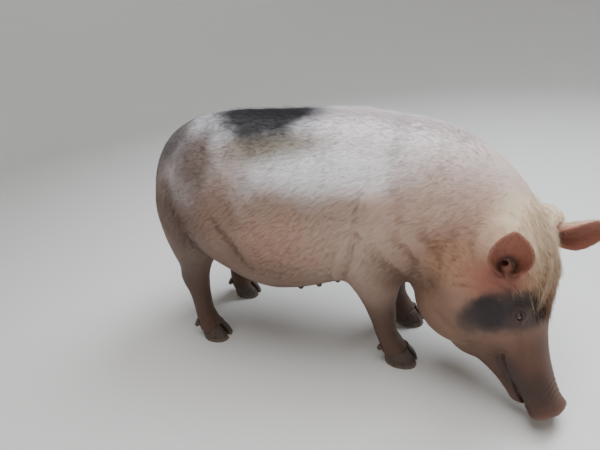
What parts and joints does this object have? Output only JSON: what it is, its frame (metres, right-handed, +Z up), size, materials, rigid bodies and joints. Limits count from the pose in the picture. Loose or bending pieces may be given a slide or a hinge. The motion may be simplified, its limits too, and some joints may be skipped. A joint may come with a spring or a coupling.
{
  "type": "sow",
  "caption": "Standing life-size sow with pricked ears, a long snout lowered and turned to one side, cloven feet and a hanging tail.",
  "frame": {"origin": "on the floor, under the middle of the sow's bounding box", "axes": "+X the way her trunk faces, +Y to her left, +Z up"},
  "size_m": [1.24, 0.4816, 0.7237],
  "materials": {
    "coat": "short pale coat over pink skin",
    "dirty_coat": "short coat darkened by mud",
    "ear_skin": "thin bare reddish skin",
    "eye": "wet and dark",
    "horn": "dull dark horn"
  },
  "bodies": {
    "root": {"ear_left": "ear_skin", "ear_right": "ear_skin", "eye_left": "eye", "eye_right": "eye", "foreleg_left": "dirty_coat", "foreleg_left_claw_inner": "horn", "foreleg_left_claw_outer": "horn", "foreleg_left_dewclaw_inner": "horn", "foreleg_left_dewclaw_outer": "horn", "foreleg_right": "dirty_coat", "foreleg_right_claw_inner": "horn", "foreleg_right_claw_outer": "horn", "foreleg_right_dewclaw_inner": "horn", "foreleg_right_dewclaw_outer": "horn", "head": "coat", "hindleg_left": "dirty_coat", "hindleg_left_claw_inner": "horn", "hindleg_left_claw_outer": "horn", "hindleg_left_dewclaw_inner": "horn", "hindleg_left_dewclaw_outer": "horn", "hindleg_right": "dirty_coat", "hindleg_right_claw_inner": "horn", "hindleg_right_claw_outer": "horn", "hindleg_right_dewclaw_inner": "horn", "hindleg_right_dewclaw_outer": "horn", "neck": "coat", "tail": "coat", "torso": "coat"}
  },
  "joints": []
}
